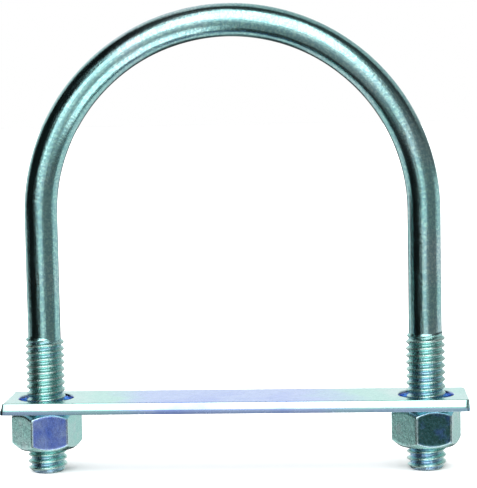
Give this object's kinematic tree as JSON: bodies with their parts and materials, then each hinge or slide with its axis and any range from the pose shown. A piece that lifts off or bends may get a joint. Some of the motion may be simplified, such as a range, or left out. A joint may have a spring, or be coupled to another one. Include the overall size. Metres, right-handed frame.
{
  "type": "u-bolt with clamp plate",
  "caption": "Round-bend U-bolt with threaded legs, a flat clamp plate across the legs and hexagon nuts under it, in bright zinc-plated steel.",
  "frame": {"origin": "on the axis of the tube that the bend goes round, midway between the two legs", "axes": "+X from the left leg to the right leg, +Y along the tube's axis, +Z towards the crown of the bend; the legs point down along -Z"},
  "size_m": [0.0952, 0.0158, 0.0954],
  "materials": {
    "plated_rod": "drawn steel rod, bright blue-passivated zinc plating, lengthwise drawing lines",
    "plated_plate": "sheared flat bar, bright blue-passivated zinc plating",
    "plated_nut": "cold-formed nut, bright blue-passivated zinc plating, fine mottling"
  },
  "bodies": {
    "u_bolt": {"u_bolt": "plated_rod"},
    "clamp_plate": {"clamp_plate": "plated_plate"},
    "left_nut": {"left_nut": "plated_nut"},
    "right_nut": {"right_nut": "plated_nut"}
  },
  "joints": [
    {"name": "plate_travel", "type": "slide", "parent": "u_bolt", "child": "clamp_plate", "axis": [0, 0, 1], "range_m": [-0.00494, 0.01271]},
    {"name": "left_nut_turn", "type": "hinge", "parent": "clamp_plate", "child": "left_nut", "pos_m": [-0.03907, 0, -0.04398], "axis": [0, 0, 1], "range_deg": [-1260, 3240]},
    {"name": "right_nut_turn", "type": "hinge", "parent": "clamp_plate", "child": "right_nut", "pos_m": [0.03907, 0, -0.04398], "axis": [0, 0, 1], "range_deg": [-1260, 3240]}
  ],
  "couplings": [
    {"joint": "plate_travel", "follows": "left_nut_turn", "m_per_rad": 0.00022459},
    {"joint": "right_nut_turn", "follows": "left_nut_turn", "ratio": 1}
  ]
}
